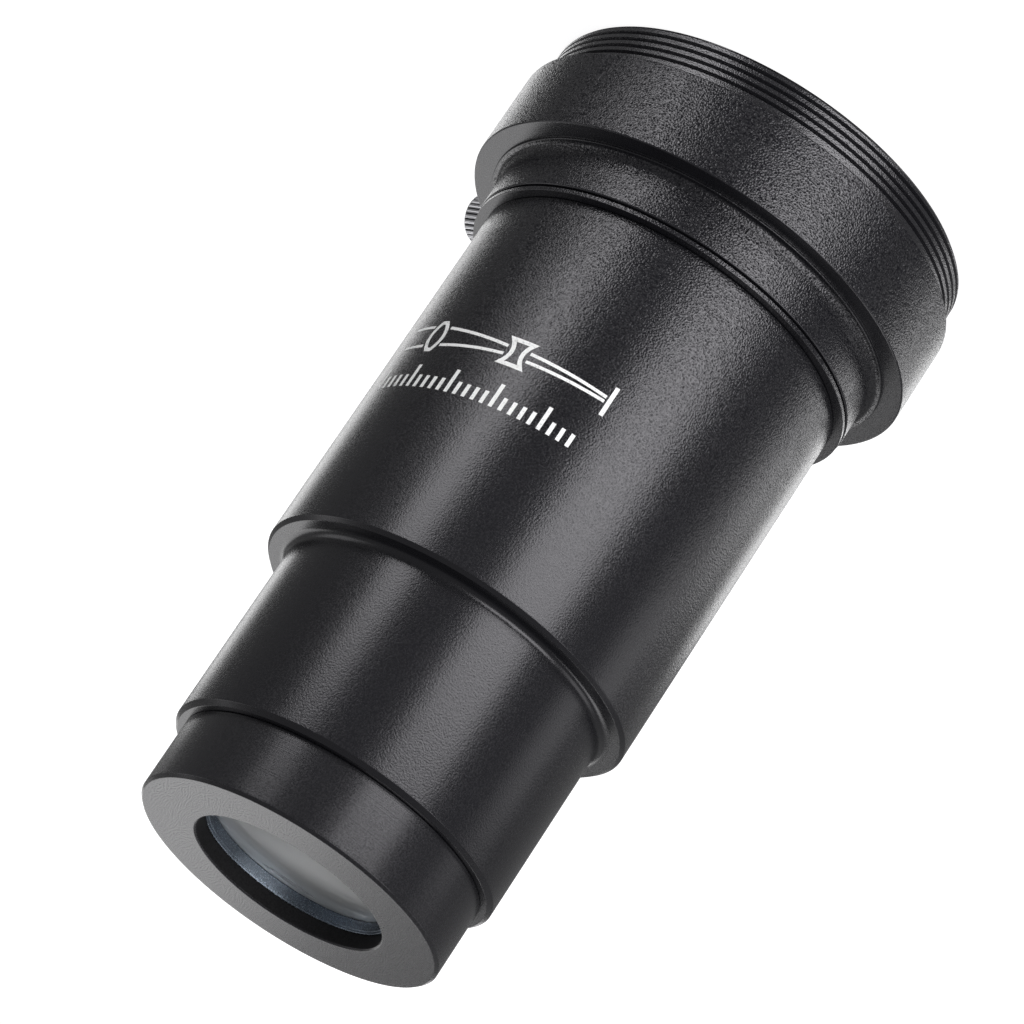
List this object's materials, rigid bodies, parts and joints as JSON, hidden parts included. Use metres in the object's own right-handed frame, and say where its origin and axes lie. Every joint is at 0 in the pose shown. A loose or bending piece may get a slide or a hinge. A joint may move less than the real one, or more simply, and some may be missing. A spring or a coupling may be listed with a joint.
{
  "type": "barlow lens",
  "caption": "Black 1.25 inch barlow lens with a threaded lens cell, a stepped barrel, an eyepiece socket with a thumbscrew and an M42 camera thread.",
  "frame": {"origin": "on the optical axis, at the mouth of the eyepiece socket, which is the camera thread's end face", "axes": "+Z along the optical axis from the eyepiece side to the lens cell; +X along the thumbscrew, pointing out"},
  "size_m": [0.0506, 0.044, 0.0792],
  "materials": {
    "anodised_black": "fine blasted aluminium, anodised black, satin",
    "anodised_cell": "smooth turned aluminium, anodised black, satin",
    "anodised_thread": "turned thread, anodised black",
    "flat_black": "matt black against stray light",
    "ring_metal": "thin turned ring, bare grey",
    "coated_glass": "polished optical glass, anti-reflection coated",
    "screw_metal": "dark nickel plate, straight knurl"
  },
  "bodies": {
    "barrel": {"main_barrel": "anodised_black", "eyepiece_holder": "anodised_black", "joint_ring": "anodised_black", "camera_thread_ring": "anodised_thread", "eyepiece_stop_ring": "flat_black", "light_baffle": "flat_black"},
    "cell_optics": {"front_lens": "coated_glass", "lens_spacer": "flat_black", "rear_lens": "coated_glass"},
    "cell_housing": {"lens_cell": "anodised_cell", "lens_retaining_ring": "ring_metal"},
    "screw_shank": {"thumbscrew_shank": "screw_metal"},
    "screw_head": {"thumbscrew_head": "screw_metal"}
  },
  "joints": [
    {"name": "cell_travel", "type": "slide", "parent": "barrel", "child": "cell_optics", "axis": [0, 0, 1], "range_m": [0, 0.00481]},
    {"name": "cell_turn", "type": "hinge", "parent": "cell_optics", "child": "cell_housing", "pos_m": [0, 0, 0.0722], "axis": [0, 0, 1], "range_deg": [0, 2880]},
    {"name": "screw_travel", "type": "slide", "parent": "barrel", "child": "screw_shank", "axis": [1, 0, 0], "range_m": [-0.0013, 0.004]},
    {"name": "screw_turn", "type": "hinge", "parent": "screw_shank", "child": "screw_head", "pos_m": [0.0236, 0, 0.0084], "axis": [1, 0, 0], "range_deg": [-936.5, 2880.5]}
  ],
  "couplings": [
    {"joint": "cell_travel", "follows": "cell_turn", "m_per_rad": 0.000095493},
    {"joint": "screw_turn", "follows": "screw_travel", "rad_per_m": 12566}
  ]
}
